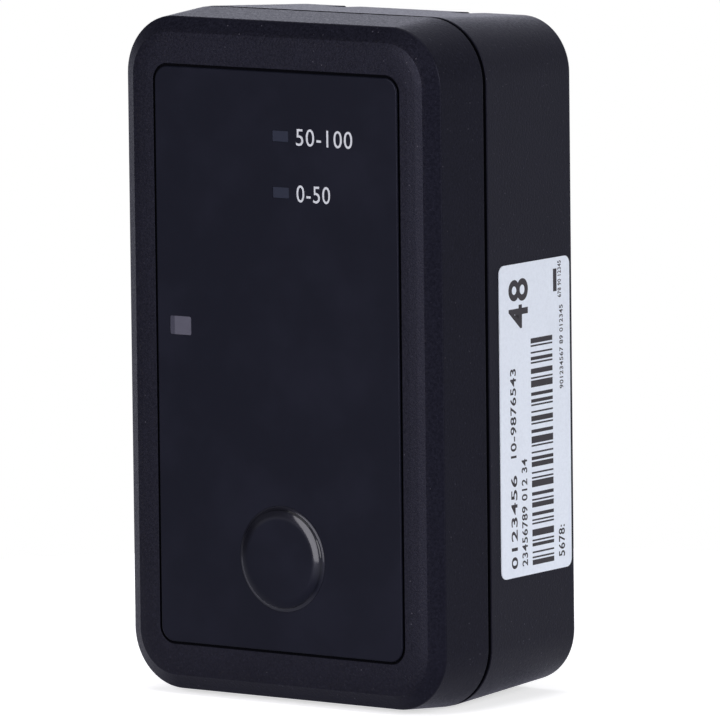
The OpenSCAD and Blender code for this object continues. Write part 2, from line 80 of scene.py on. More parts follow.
def front_inset(depth):
    """How far the front shell's wall has come in at that depth."""
    return FRONT_DRAFT * (RIDGE_FRONT - depth) / (RIDGE_FRONT - BEVEL_BACK)


def rear_inset(depth):
    """How far the rear shell's wall has come in at that depth."""
    return REAR_DRAFT * (depth - RIDGE_BACK) / (BODY_D - RIDGE_BACK)


print("outline", 2 * HALF_W, "by", 2 * HALF_H, "mm, back wall comes in", round(rear_inset(BODY_D), 2))

# %% [markdown]
# ## Hand tools
# Everything is modelled with the tools that a person uses in Blender's edit mode. They act
# on what is selected, and the frame arrives selected, so each step begins by letting go of
# everything. These few helpers add a start shape at its size and place, pick edges or faces
# by where they are, and cut one shape with another.

# %% Letting go, holding and editing
def let_go():
    """Leaves edit mode and deselects every object."""
    if bpy.context.mode != "OBJECT":
        bpy.ops.object.mode_set(mode="OBJECT")
    bpy.ops.object.select_all(action="DESELECT")


def hold(piece):
    """Makes one object the selected and active one."""
    let_go()
    piece.select_set(True)
    bpy.context.view_layer.objects.active = piece


def edit(piece, kind="VERT"):
    """Opens an object in edit mode with nothing picked."""
    hold(piece)
    bpy.ops.object.mode_set(mode="EDIT")
    bpy.ops.mesh.select_mode(type=kind)
    bpy.ops.mesh.select_all(action="DESELECT")


print("ready: let_go, hold, edit")


# %% Picking by place
def pick(piece, kind, test):
    """Picks the vertices, edges or faces whose middle passes the test.
    The test gets the part and its middle's x, depth and height in millimetres."""
    shape = bmesh.from_edit_mesh(piece.data)
    chosen = 0
    for part in {"VERT": shape.verts, "EDGE": shape.edges, "FACE": shape.faces}[kind]:
        if kind == "VERT":
            middle = part.co
        elif kind == "EDGE":
            middle = (part.verts[0].co + part.verts[1].co) / 2
        else:
            middle = part.calc_center_median()
        place = (middle.x / MM, middle.y / MM - FILM_FRONT, middle.z / MM - HALF_H)
        if test(part, *place):
            part.select_set(True)
            chosen += 1
    shape.select_flush_mode()
    bmesh.update_edit_mesh(piece.data)
    return chosen


print("ready: pick")

# %% Fixing and finishing a mesh
MERGE = 0.0000005    # in metres: vertices that are nearer than this become one


def fix_place(piece):
    """Moves an object's place, turn and scale into its mesh."""
    hold(piece)
    bpy.ops.object.transform_apply(location=True, rotation=True, scale=True)
    return piece


def finish_mesh(piece, angle=32):
    """Merges doubles, points the faces outwards and smooths all but the sharp edges."""
    edit(piece)
    bpy.ops.mesh.select_all(action="SELECT")
    bpy.ops.mesh.remove_doubles(threshold=MERGE)
    bpy.ops.mesh.normals_make_consistent(inside=False)
    hold(piece)
    bpy.ops.object.shade_smooth_by_angle(angle=math.radians(angle))
    modifier = piece.modifiers.new("flat faces stay flat", "WEIGHTED_NORMAL")
    modifier.keep_sharp = True
    bpy.ops.object.modifier_apply(modifier=modifier.name)


print("ready: fix_place, finish_mesh")


# %% Start shapes and cuts
def rod(x, height, radius, d0, d1, sides=64):
    """A round bar that runs from one depth to another."""
    let_go()
    bpy.ops.mesh.primitive_cylinder_add(
        vertices=sides, radius=radius * MM, depth=(d1 - d0) * MM,
        location=at(x, (d0 + d1) / 2, height), rotation=(math.pi / 2, 0, 0))
    return fix_place(bpy.context.object)


def block(x, height, w, h, d0, d1):
    """A block of that width and height, from one depth to another."""
    let_go()
    bpy.ops.mesh.primitive_cube_add(size=1, location=at(x, (d0 + d1) / 2, height))
    bpy.context.object.scale = (w * MM, (d1 - d0) * MM, h * MM)
    return fix_place(bpy.context.object)


def combine(piece, tool, how="DIFFERENCE"):
    """Cuts a piece with a tool, or adds the tool to it, and puts the tool away."""
    hold(piece)
    modifier = piece.modifiers.new(how.lower(), "BOOLEAN")
    modifier.operation, modifier.solver, modifier.object = how, "MANIFOLD", tool
    bpy.ops.object.modifier_apply(modifier=modifier.name)
    bpy.data.objects.remove(tool)


print("ready: rod, block, combine")

# %% [markdown]
# ## A section that runs round the outline
# A shell's wall, bevel and rim all follow one rounded outline, and a mould cutter makes them
# by leading one tool round it. The same works here: the wall's section is drawn with the
# extrude tool from a single vertex, spun a quarter turn about each corner and pulled along
# each side. Small arcs at its corners give the soft edges that moulded plastic has, and all
# the corners of the box come out smooth, with no seam in the surface.

# %% Ease a section's corners
ARC_STEP = 12    # degrees of an arc to one of its edges


def eased(points):
    """Turns (inset, depth, radius) corners into a line whose corners are arcs."""
    line = []
    for i, (u, v, radius) in enumerate(points):
        if radius == 0 or i in (0, len(points) - 1):
            line.append((u, v))
            continue
        here = Vector((u, v))
        before = (Vector(points[i - 1][:2]) - here).normalized()
        after = (Vector(points[i + 1][:2]) - here).normalized()
        half = before.angle(after) / 2
        reach = radius / math.tan(half)
        middle = here + (before + after).normalized() * (radius / math.sin(half))
        start, end = here + before * reach - middle, here + after * reach - middle
        turn = start.angle_signed(end)
        steps = max(2, round(abs(math.degrees(turn)) / ARC_STEP))
        for k in range(steps + 1):
            spot = middle + Matrix.Rotation(-turn * k / steps, 2) @ start
            line.append((spot.x, spot.y))
    return line


print("a square corner is eased with", len(eased([(0, 0, 0), (0, 1, 0.5), (1, 1, 0)])) - 2, "points")


# %% Draw a section and lead it round
def draw_line(name, points):
    """Draws a line of edges through the points with the extrude tool."""
    let_go()
    bpy.ops.mesh.primitive_plane_add(size=MM)
    piece = bpy.context.object
    piece.name = piece.data.name = name
    edit(piece)
    bpy.ops.mesh.select_all(action="SELECT")
    bpy.ops.mesh.merge(type="CENTER")
    bpy.ops.transform.translate(value=points[0])
    for start, end in zip(points, points[1:]):
        bpy.ops.mesh.extrude_region_move(TRANSFORM_OT_translate={"value": end - start})
    bpy.ops.mesh.select_all(action="SELECT")
    return piece


def lead_round(name, section):
    """Leads a section once round the outline and closes it at both ends."""
    piece = draw_line(name, [at(HALF_W - inset, depth, CORNER_Z) for inset, depth in section])
    across, along = Vector((2 * CORNER_X, 0, 0)) * MM, Vector((0, 0, 2 * CORNER_Z)) * MM
    for side, end, pull in ((1, 1, -across), (-1, 1, -along), (-1, -1, across), (1, -1, along)):
        bpy.ops.mesh.spin(steps=18, angle=math.pi / 2,
                          center=at(side * CORNER_X, 0, end * CORNER_Z), axis=(0, 1, 0))
        bpy.ops.mesh.extrude_region_move(TRANSFORM_OT_translate={"value": pull})
    bpy.ops.mesh.select_all(action="SELECT")
    bpy.ops.mesh.remove_doubles(threshold=MERGE)
    for depth in (section[0][1], section[-1][1]):
        bpy.ops.mesh.select_all(action="DESELECT")
        pick(piece, "EDGE", lambda edge, px, pd, pz: edge.is_boundary and abs(pd - depth) < 0.001)
        bpy.ops.mesh.edge_face_add()
    bpy.ops.mesh.select_all(action="SELECT")
    bpy.ops.mesh.normals_make_consistent(inside=False)
    let_go()
    print(name, "led round:", len(piece.data.polygons), "faces")
    return piece


print("ready: draw_line, lead_round")

# %% [markdown]
# ## The front shell
# On the real part this is one injection moulding: a frame round a shallow recess for the
# film, a bevel, a drafted wall and, at the seam, a rim with a groove for the gasket. The
# section holds all of that. The recess lies further from the ends than from the sides, so
# the innermost vertices are then moved up or down by that difference.

# %% Lead the front section round
FILM_T = 0.45
RECESS_SIDE, RECESS_END = 6.62, 7.32      # insets of the recess at the sides and at the ends
LIP_INSET = 1.0                           # how deep the gap at the seam is
LIP_FRONT, LIP_BACK = 10.93, 11.56        # the depths between which that gap lies
GROOVE_OUT, GROOVE_IN, GROOVE_FLOOR = 2.05, 3.25, 9.95
RIM_IN, RIM_FRONT, RIM_BACK = 4.0, 8.65, 13.65    # the thick rims at the seam
# Inset, depth and radius of each corner, from the recess over the seam to the inside
front_section = eased([
    (RECESS_SIDE, FILM_T, 0), (RECESS_SIDE, 0.10, 0.1), (5.3, 0.12, 4), (4.0, 0.2, 4), (2.85, 0.37, 0.3),
    (FRONT_DRAFT, BEVEL_BACK, 0.5), (0, RIDGE_FRONT + 0.2, 0.15), (0.12, LIP_FRONT, 0.06),
    (LIP_INSET, LIP_FRONT, 0), (LIP_INSET, SEAM, 0), (GROOVE_OUT, SEAM, 0), (GROOVE_OUT, GROOVE_FLOOR, 0),
    (GROOVE_IN, GROOVE_FLOOR, 0), (GROOVE_IN, SEAM, 0), (RIM_IN, SEAM, 0), (RIM_IN, RIM_FRONT, 0),
    (front_inset(RIM_FRONT) + WALL, RIM_FRONT, 0.3), (FRONT_DRAFT + WALL, INNER_FRONT, 0)])
front_shell = lead_round("front_shell", front_section)

# %% Move the ends of the recess inwards
edit(front_shell)
for end in (1, -1):
    bpy.ops.mesh.select_all(action="DESELECT")
    moved = pick(front_shell, "VERT", lambda vertex, x, depth, z: (
        depth < FILM_T + 0.15 and end * z > CORNER_Z - 0.01
        and math.hypot(max(abs(x) - CORNER_X, 0), abs(z) - CORNER_Z) < CORNER - RECESS_SIDE + 0.22))
    bpy.ops.transform.translate(value=(0, 0, -end * (RECESS_END - RECESS_SIDE) * MM))
    print("recess end vertices moved:", moved)
let_go()

# %% [markdown]
# Inside the front shell stand four bosses for the case screws and four posts for the
# circuit board, each tied to the wall by a thin gusset, as a moulder would do to keep them
# from tearing off. They are start shapes welded on by a boolean union, and then the bores,
# the windows and the key's pocket are cut.

# %% Bosses and posts of the front shell
SCREW_INSET, SCREW_R, BOSS_R = 7.2, 1.45, 3.2
SCREW_X, SCREW_Z = HALF_W - SCREW_INSET, HALF_H - SCREW_INSET
POST_X, POST_Z, POST_R, POST_BACK = 20.5, 32.0, 2.3, 7.0
TIE = 1                     # how thick the ties are
SCREWS = [(side * SCREW_X, end * SCREW_Z) for side in (-1, 1) for end in (-1, 1)]
POSTS = [(side * POST_X, end * POST_Z) for side in (-1, 1) for end in (-1, 1)]
ROOT = INNER_FRONT - 0.3    # what is welded on begins inside the front wall


def tie(x, height, inset, d0, d1):
    """The two thin ties from a boss to the walls beside it, as separate blocks."""
    reach = SCREW_INSET - inset
    side, end = math.copysign(1, x), math.copysign(1, height)
    return [block(x + side * reach / 2, height, reach, TIE, d0, d1),
            block(x, height + end * reach / 2, TIE, reach, d0, d1)]


for x, z in SCREWS:
    for added in [rod(x, z, BOSS_R, ROOT, SEAM)] + tie(x, z, 1.65, ROOT, RIM_FRONT):
        combine(front_shell, added, "UNION")
for x, z in POSTS:
    side = math.copysign(1, x)
    combine(front_shell, rod(x, z, POST_R, ROOT, POST_BACK), "UNION")
    combine(front_shell, block(side * 23.15, z, 5.5, TIE, ROOT, POST_BACK), "UNION")
print("bosses:", len(SCREWS), "posts:", len(POSTS))

# %% Bores and openings of the front shell
INSERT_R, INSERT_L = 2.02, 5
PILOT_R, PILOT_FRONT = 0.97, 3.1          # the holes for the board's screws
OVER = 0.5                                # how far a cutter sticks out of what it cuts
LAMPS, LAMP_W, LAMP_H = [(0.9, 32.0), (0.9, 24.05)], 2.85, 1.6
SENSOR, SENSOR_W, SENSOR_H = (-17.3, 4.25), 3.8, 2.7
KEY, KEY_R = (0.45, -27.85), 7.5
LEDGE = 2 * 0.3                           # what the ledges under a window take from its opening
WALL_CUT, KEY_POCKET = (0, 3), (-0.1, 0.95)
PLUNGER_HOLE_R = 5.28
for x, z in SCREWS:
    combine(front_shell, rod(x, z, INSERT_R, SEAM - INSERT_L, SEAM + OVER))
    combine(front_shell, rod(x, z, SCREW_R, SEAM - INSERT_L - 2.5, SEAM))
for x, z in POSTS:
    combine(front_shell, rod(x, z, PILOT_R, PILOT_FRONT, POST_BACK + OVER))
for x, z in LAMPS:
    combine(front_shell, block(x, z, LAMP_W - LEDGE, LAMP_H - LEDGE, *WALL_CUT))
combine(front_shell, block(*SENSOR, SENSOR_W - LEDGE, SENSOR_H - LEDGE, *WALL_CUT))
combine(front_shell, rod(*KEY, KEY_R + 0.3, *KEY_POCKET, sides=96))
combine(front_shell, rod(*KEY, PLUNGER_HOLE_R, 0.5, 3, sides=96))
finish_mesh(front_shell)
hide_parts("front_housing")
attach(front_shell, "body")
print("front shell:", len(front_shell.data.polygons), "faces")

# %% [markdown]
# ## The rear shell
# The rear shell is the deep one: it holds the cells, and its walls lean in by about three
# degrees so that it leaves the mould. Its rim carries a tongue that presses on the gasket.
# The same lead round the outline makes it, with a larger arc where the wall turns into the
# back, and the four screw wells and two small latch notches are cut last.

# %% Lead the rear section round
TONGUE_OUT, TONGUE_IN, TONGUE_FRONT = 2.1, 3.2, 10.65
# Inset, depth and radius of each corner, from the inside over the tongue to the back
rear_section = eased([
    (rear_inset(INNER_BACK) + WALL, INNER_BACK, 0), (rear_inset(RIM_BACK) + WALL, RIM_BACK, 0.3),
    (RIM_IN, RIM_BACK, 0), (RIM_IN, SEAM, 0), (TONGUE_IN, SEAM, 0), (TONGUE_IN, TONGUE_FRONT, 0),
    (TONGUE_OUT, TONGUE_FRONT, 0), (TONGUE_OUT, SEAM, 0), (LIP_INSET, SEAM, 0), (LIP_INSET, LIP_BACK, 0),
    (0.1, LIP_BACK, 0.06), (0, RIDGE_BACK - 0.05, 0.15), (REAR_DRAFT, BODY_D, 0.8), (8.5, BODY_D, 0)])
rear_shell = lead_round("rear_shell", rear_section)

# %% Wells, ties and notches of the rear shell
SEAT, BOSS_BACK = 16.5, 17                # where the screw heads rest, and where the bosses end
WELL_R, WELL_FRONT, WELL_BACK = 2.7, 14.6, 32.4
NOTCH_X, NOTCH_W, NOTCH_D = 11, 3, 5
for x, z in SCREWS:
    combine(rear_shell, rod(x, z, BOSS_R, SEAM, BOSS_BACK), "UNION")
    for added in [rod(x, z, WELL_R + 1, WELL_FRONT, WELL_BACK)] + tie(x, z, 2.25, WELL_FRONT, WELL_BACK):
        combine(rear_shell, added, "UNION")
for x, z in SCREWS:
    combine(rear_shell, rod(x, z, SCREW_R, SEAM - OVER, BOSS_BACK))
    combine(rear_shell, rod(x, z, WELL_R, SEAT, BODY_D + OVER))
for x in (-NOTCH_X, NOTCH_X):
    combine(rear_shell, block(x, HALF_H - REAR_DRAFT, NOTCH_W, 2, BODY_D - NOTCH_D, BODY_D + OVER))
finish_mesh(rear_shell)
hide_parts("rear_housing")
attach(rear_shell, "body")
print("rear shell:", len(rear_shell.data.polygons), "faces")

# %% [markdown]
# ## The film and its windows
# A printed film covers the recess and leaves a thin dark groove all round. It is a block
# whose four corners are rounded with a wide bevel and whose front edge gets a very small
# one, because a die-cut edge always turns over a little and shows as a pale line.
# Openings for the key, the two lamps and the sensor go through it.

# %% A flat piece with round corners and soft front edges
def plate(name, x, height, w, h, radius, d0, d1, soft):
    """A plate whose corners are round and whose front edges are soft."""
    piece = block(x, height, w, h, d0, d1)
    piece.name = piece.data.name = name
    edit(piece, "EDGE")
    pick(piece, "EDGE", lambda edge, px, pd, pz: (
        abs((edge.verts[0].co - edge.verts[1].co).y) > 0.5 * (d1 - d0) * MM))
    bpy.ops.mesh.bevel(offset=radius * MM, segments=12, affect="EDGES", offset_type="OFFSET")
    if soft:
        bpy.ops.mesh.select_mode(type="FACE")
        bpy.ops.mesh.select_all(action="DESELECT")
        pick(piece, "FACE", lambda face, px, pd, pz: face.normal.y < -0.9)
        bpy.ops.mesh.region_to_loop()
        bpy.ops.mesh.bevel(offset=soft * MM, segments=4, affect="EDGES")
    let_go()
    return piece


print("ready: plate")

# %% The film and its openings
FILM_W, FILM_H, FILM_R = 42.9, 82.1, 2.2
SENSOR_R, KEY_GAP = 0.3, 0.04
THROUGH = (-0.2, FILM_T + 0.15)           # a cutter's depths, on both sides of the film
film = plate("film", 0, 0, FILM_W, FILM_H, FILM_R, 0, FILM_T, 0.22)
for x, z in LAMPS:
    combine(film, block(x, z, LAMP_W, LAMP_H, *THROUGH))
combine(film, plate("cutter", *SENSOR, SENSOR_W, SENSOR_H, SENSOR_R, *THROUGH, 0))
combine(film, rod(*KEY, KEY_R + KEY_GAP, *THROUGH, sides=144))
finish_mesh(film)
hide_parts("front_film")
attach(film, "body")
print("film faces:", len(film.data.polygons))

# %% The lamp windows and the sensor window
FIT = 0.02                                # a pane is this much smaller than its opening, all round
lamp_panes = []
for i, (x, z) in enumerate(LAMPS):
    pane = plate(f"lamp_pane_{i + 1}", x, z, LAMP_W - 2 * FIT, LAMP_H - 2 * FIT, 0.12, FIT, FILM_T, 0.05)
    finish_mesh(pane)
    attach(pane, "body")
    lamp_panes.append(pane)
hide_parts("lamp_windows")
sensor_pane = plate("sensor_pane", *SENSOR, SENSOR_W - 2 * FIT, SENSOR_H - 2 * FIT, SENSOR_R - FIT,
                    FIT, FILM_T, 0.06)
finish_mesh(sensor_pane)
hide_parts("sensor_window")
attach(sensor_pane, "body")
print("panes:", len(lamp_panes) + 1)

# %% [markdown]
# ## The key
# The key is embossed in the film: a flat top, a wide gentle crown, a short steep drop and a
# hollow foot. A light shows slopes and not heights, so the rim is written as slopes at a few
# radii and added up into heights. The half section is spun a full turn, and the edges that
# meet on the axis and at the start are merged.

# %% Add up the slopes of the key's rim
KEY_RISE = 0.66
# Radius in millimetres and slope in degrees
SLOPES = [(5.6, 0), (6.1, 7), (6.5, 13), (6.88, 19), (6.93, 48), (7.0, 52), (7.06, 40), (7.12, 19),
          (7.3, 11), (7.42, 4), (KEY_R, 0)]
PARTS = 4    # points to each stretch between two slopes
fall = [SLOPES[0]]
for (r0, s0), (r1, s1) in zip(SLOPES, SLOPES[1:]):
    stride = (r1 - r0) / PARTS
    for k in range(PARTS):
        slope = math.radians(s0 + (s1 - s0) * (k + 0.5) / PARTS)
        fall.append((fall[-1][0] + stride, fall[-1][1] + math.tan(slope) * stride))
drop = fall[-1][1]
print("the rim falls", round(drop, 3), "mm before it is fitted to", KEY_RISE)

# %% Spin the key cap
HOLLOW_R, HOLLOW_FRONT = 5.45, -0.21
half = [(r, -KEY_RISE) for r in (0, 2.5, 4.4)] + [(r, KEY_RISE * (y / drop - 1)) for r, y in fall]
half += [(KEY_R, FILM_T), (HOLLOW_R, FILM_T), (HOLLOW_R, HOLLOW_FRONT), (0, HOLLOW_FRONT)]
key = draw_line("key", [at(KEY[0] + r, depth, KEY[1]) for r, depth in half])
bpy.ops.mesh.spin(steps=144, angle=2 * math.pi, center=at(KEY[0], 0, KEY[1]), axis=(0, 1, 0))
finish_mesh(key, angle=40)
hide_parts("key_cap")
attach(key, "key")
print("key faces:", len(key.data.polygons))

# %% [markdown]
# ## Numbers beside the lamps
# Beside each lamp window the film has light grey print. Plain numbers stand there. They are
# text made into a mesh, fitted to their height and length, and laid a hair proud of the
# film. The label's numbers come from the same function.

# %% Figures as a thin flat mesh
FIGURE_T = 0.01     # millimetres
HALF_TEXT = 0.01    # text is extruded this far both ways, in its own units


def figures(words, tall, long, bold=0):
    """Plain figures as a thin flat mesh of that height and length, from the origin up and right."""
    let_go()
    bpy.ops.object.text_add()
    text = bpy.context.object
    text.data.body = words
    text.data.extrude, text.data.offset = HALF_TEXT, bold
    text.data.space_character = 1.1
    bpy.ops.object.convert(target="MESH")
    piece = bpy.context.object
    piece.scale = (long * MM / piece.dimensions.x, tall * MM / piece.dimensions.y,
                   FIGURE_T * MM / (2 * HALF_TEXT))
    fix_place(piece)
    piece.location = [-min(vertex.co[axis] for vertex in piece.data.vertices) for axis in range(3)]
    return fix_place(piece)


print("ready: figures")

# %% Print the numbers
NUMBER_X, NUMBER_H = 3.7, 2.4
SUNK = 0.002        # how much of their thickness lies in the film
numbers = []
for (_, z), name, words, long in zip(LAMPS, ("upper_number", "lower_number"), ("50-100", "0-50"), (9.9, 5.9)):
    piece = figures(words, NUMBER_H, long)
    piece.name = piece.data.name = name
    piece.rotation_euler = (math.pi / 2, 0, 0)
    piece.location = at(NUMBER_X, SUNK, z - NUMBER_H / 2)
    fix_place(piece)
    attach(piece, "body")
    numbers.append(piece)
print("numbers:", [piece.name for piece in numbers])

# %% [markdown]
# ## The label
# A paper label is stuck to the right wall of the rear shell and leans with it. It is made
# flat, as paper is, in its own directions, and then turned by the wall's draft and put in
# place. Its print is generic: a field of bars, as thin plates, and lines of plain figures
# that read upwards.

# %% From flat to the leaning wall
LABEL_DEPTH, LABEL_HEIGHT = 23.2, -8.35
TILT = math.atan(REAR_DRAFT / (BODY_D - RIDGE_BACK))


def on_wall(piece):
    """Takes a piece from flat millimetres on the label to its place on the leaning wall."""
    piece.rotation_euler = (0, 0, TILT)
    piece.location = at(HALF_W - rear_inset(LABEL_DEPTH), LABEL_DEPTH, LABEL_HEIGHT)
    return fix_place(piece)


def flat_plate(name, along, up, w, h, t0, t1, radius=0):
    """A thin plate on the label: along runs backwards from its middle, up runs upwards."""
    let_go()
    bpy.ops.mesh.primitive_cube_add(size=1, location=Vector(((t0 + t1) / 2, along, up)) * MM)
    piece = bpy.context.object
    piece.name = piece.data.name = name
    piece.scale = ((t1 - t0) * MM, w * MM, h * MM)
    fix_place(piece)
    if radius:
        edit(piece, "EDGE")
        pick(piece, "EDGE", lambda edge, px, pd, pz: (
            abs((edge.verts[0].co - edge.verts[1].co).x) > 0.5 * (t1 - t0) * MM))
        bpy.ops.mesh.bevel(offset=radius * MM, segments=8, affect="EDGES")
        let_go()
    return piece


print("the wall leans by", round(math.degrees(TILT), 2), "degrees")

# %% Lay the label on the wall
LABEL_W, LABEL_L, LABEL_T = 18.2, 44.3, 0.12
label = on_wall(flat_plate("label", 0, 0, LABEL_W, LABEL_L, 0, LABEL_T, 1.2))
finish_mesh(label)
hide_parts("side_label")
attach(label, "body")
print("label faces:", len(label.data.polygons))

# %% Print the label's bars
MODULE = 0.24                             # the thinnest bar
BARS_ALONG, BAR_L = 1.7, 5.6              # where the middle of the bars lies, and their length
INK = (LABEL_T, LABEL_T + 0.012)
WIDTHS = [3, 1, 1, 2, 1, 4, 1, 1, 2, 3, 1, 2, 4, 1, 1, 3, 2, 1, 1, 4, 2, 1, 3, 1, 1, 2, 2, 4, 1, 3,
          1, 2, 1, 1, 3]
printed = []
place = -20.9
for i, width in enumerate(WIDTHS):
    thick = MODULE * width
    printed.append(flat_plate("print", BARS_ALONG, place + thick / 2, BAR_L, thick, *INK))
    place += thick + MODULE * (1 + (i * 7) % 3)
printed.append(flat_plate("print", 5.3, 18.95, 0.9, 3.2, *INK))
print("label print:", len(WIDTHS), "bars, which end at", round(place, 1))

# %% Print the label's lines
# Figures, their height, their foot's place along, where they start and their length
LINES = (("0123456", 1.6, -4.9, -20.9, 13.2), ("10-9876543", 1.5, -5.0, -5.2, 12.6),
         ("23456789 012 34", 1.45, -2.3, -20.8, 15.2), ("5678:", 1.6, 7.35, -20.5, 4.5),
         ("901234567 89 012345", 0.95, 7.3, 3.4, 11.9), ("678 90 12345", 0.9, 6.9, 16.4, 5.2),
         ("48", 5.0, -1.7, 13.0, 7.0))
upwards = Matrix(((0, 0, 1), (0, -1, 0), (1, 0, 0))).to_euler()
for words, tall, along, start, long in LINES:
    line = figures(words, tall, long, bold=0.018)
    line.rotation_euler = upwards
    line.location = Vector((LABEL_T, along, start)) * MM
    printed.append(fix_place(line))
let_go()
for piece in printed:
    piece.select_set(True)
bpy.context.view_layer.objects.active = printed[0]
bpy.ops.object.join()
label_print = on_wall(bpy.context.object)
label_print.name = label_print.data.name = "label_print"
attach(label_print, "body")
print("label print:", len(LINES), "lines")

# %% [markdown]
# ## Reckoning with sockets
# A finish is a sum of simple patterns: grain, cloud, specks, wear. Written as node calls it
# is long and hard to read, so a small class wraps a socket and lets it be added, scaled or
# compared as a number is. Each such expression adds its Math node. Every other node comes
# from one method, and numbers alone are worked out in Python.

# %% A value that can be reckoned with
class Value:
    """One output of a node, which can be used in an expression."""

    def __init__(self, nodes, socket):
        self.nodes, self.socket = nodes, socket

    def join(self, operation, first, second):
        """Adds a Math node that joins two numbers or values."""
        return self.nodes.node("ShaderNodeMath", {"operation": operation}, {0: first, 1: second})

    def __add__(self, other): return self.join("ADD", self, other)
    def __radd__(self, other): return self.join("ADD", other, self)
    def __sub__(self, other): return self.join("SUBTRACT", self, other)
    def __rsub__(self, other): return self.join("SUBTRACT", other, self)
    def __mul__(self, other): return self.join("MULTIPLY", self, other)
    def __rmul__(self, other): return self.join("MULTIPLY", other, self)
    def __truediv__(self, other): return self.join("DIVIDE", self, other)
    def __rtruediv__(self, other): return self.join("DIVIDE", other, self)
    def __gt__(self, other): return self.join("GREATER_THAN", self, other)
    def __lt__(self, other): return self.join("LESS_THAN", self, other)


print("ready: Value")


# %% Colours as a picture gives them
def paint(red, green, blue):
    """A colour of 0 to 255, made linear for the shader."""
    return tuple((c / 255 / 12.92) if c <= 10 else ((c / 255 + 0.055) / 1.055) ** 2.4
                 for c in (red, green, blue)) + (1,)


print("middle grey is", [round(c, 3) for c in paint(128, 128, 128)])


# %% The nodes of a tree
class Nodes:
    """A node tree under construction."""

    def __init__(self, tree):
        self.tree = tree

    def node(self, kind, settings=None, inputs=None, out=0):
        """Adds a node: its settings first, then the values or links of its sockets."""
        node = self.tree.nodes.new(kind)
        for word, value in (settings or {}).items():
            setattr(node, word, value)
        for word, value in (inputs or {}).items():
            if isinstance(value, Value):
                self.tree.links.new(value.socket, node.inputs[word])
            else:
                node.inputs[word].default_value = value
        return Value(self, node.outputs[out]) if len(node.outputs) else None

    def step(self, value, low, high):
        """A smooth step of a value from 0 at low to 1 at high."""
        return self.node("ShaderNodeMapRange", {"interpolation_type": "SMOOTHSTEP"}, {
            "Value": value, "From Min": low, "From Max": high})

    def mixed(self, amount, first, second):
        """A mix of two colours."""
        return self.node("ShaderNodeMix", {"data_type": "RGBA"}, {0: amount, 6: first, 7: second}, out=2)

    def size_of(self, value):
        """A value without its sign."""
        return self.node("ShaderNodeMath", {"operation": "ABSOLUTE"}, {0: value})

    def along(self, place, axis):
        """One coordinate of a place."""
        return self.node("ShaderNodeSeparateXYZ", None, {0: place}, out=axis)


print("ready: Nodes")

# %% A finish
# The seam's middle, the half width of the painted shade in the seam, and how much wider that painted shade is
# in the middle of the top wall
SEAM_MIDDLE, SEAM_SHADE_HALF, SEAM_SHADE_WIDENING = (LIP_FRONT + LIP_BACK) / 2, 0.3, 0.28


class Finish(Nodes):
    """A material under construction, with its shader and its place on the object."""

    def __init__(self, name, **constants):
        self.material = bpy.data.materials.new(name)
        self.material.use_nodes = True
        super().__init__(self.material.node_tree)
        self.shader = self.tree.nodes["Principled BSDF"]
        for word, value in constants.items():
            self.shader.inputs[word.replace("_", " ")].default_value = value
        self.place = self.node("ShaderNodeTexCoord", out="Object")

    def give(self, **sockets):
        """Links values to the shader's sockets."""
        for word, value in sockets.items():
            self.tree.links.new(value.socket, self.shader.inputs[word.replace("_", " ")])
        return self.material

    def noise(self, size, detail=2, rough=0.5, place=None):
        """A cloud of that size in millimetres, around 0.5."""
        return self.node("ShaderNodeTexNoise", {"noise_dimensions": "3D"}, {
            "Vector": place or self.place, "Scale": 1 / (size * MM), "Detail": detail, "Roughness": rough})

    def specks(self, size, share):
        """Small dots that cover that share of the surface."""
        spots = self.node("ShaderNodeTexVoronoi", {"feature": "F1"}, {
            "Vector": self.place, "Scale": 1 / (size * MM), "Randomness": 1.0})
        return spots < share

    def painted_groove_shade(self):
        """1 where the seam between the shells and the groove round the film get painted shade, else 0.
        That painted shade is wider in the middle of the top wall."""
        depth = self.along(self.place, "Y") / MM - FILM_FRONT
        sideways = self.size_of(self.along(self.place, "X") / MM)
        height = self.along(self.place, "Z") / MM - HALF_H
        half = SEAM_SHADE_HALF + SEAM_SHADE_WIDENING * self.step(height, 46, 47) * (1 - self.step(sideways, 14, 20))
        seam = 1 - self.step(self.size_of(depth - SEAM_MIDDLE), half, half + 0.05)
        beside = sideways < HALF_W - RECESS_SIDE + 0.12
        between = self.size_of(height) < HALF_H - RECESS_END + 0.12
        return seam + (depth > 0.2) * (depth < INNER_FRONT + 0.15) * beside * between

    def bump(self, height, strength, distance):
        """A normal from a height, with the relief's depth in millimetres."""
        return self.node("ShaderNodeBump", None, {
            "Height": height, "Strength": strength, "Distance": distance * MM}, out="Normal")


print("the seam's middle lies at", round(SEAM_MIDDLE, 3), "mm")

# %% [markdown]
# ## Moulded black plastic
# The shells are black plastic from a spark-eroded mould. Close up the surface is covered in
# fine round grains that catch the light as tiny specks, and these glints are painted into the
# colour as pale specks, a painted highlight. It is never one even black: there are faint
# clouds, handling leaves a few paler rubs, and dust stays in the grain. On the face the grain
# is painted paler, a painted glint where the front light falls, and the seam and the groove
# round the film are painted near black, a painted shade. The grain goes into the normal and
# the roughness, and only a little of it into the colour.

# %% Housing plastic
NEUTRAL_SHEEN, BLUE_SHEEN = (1, 1, 1, 1), (0.74, 0.74, 1.0, 1)
# The near black that is painted into the seam and round the film as painted shade
GROOVE_PAINTED_SHADE = (0.0004, 0.0004, 0.0006, 1)


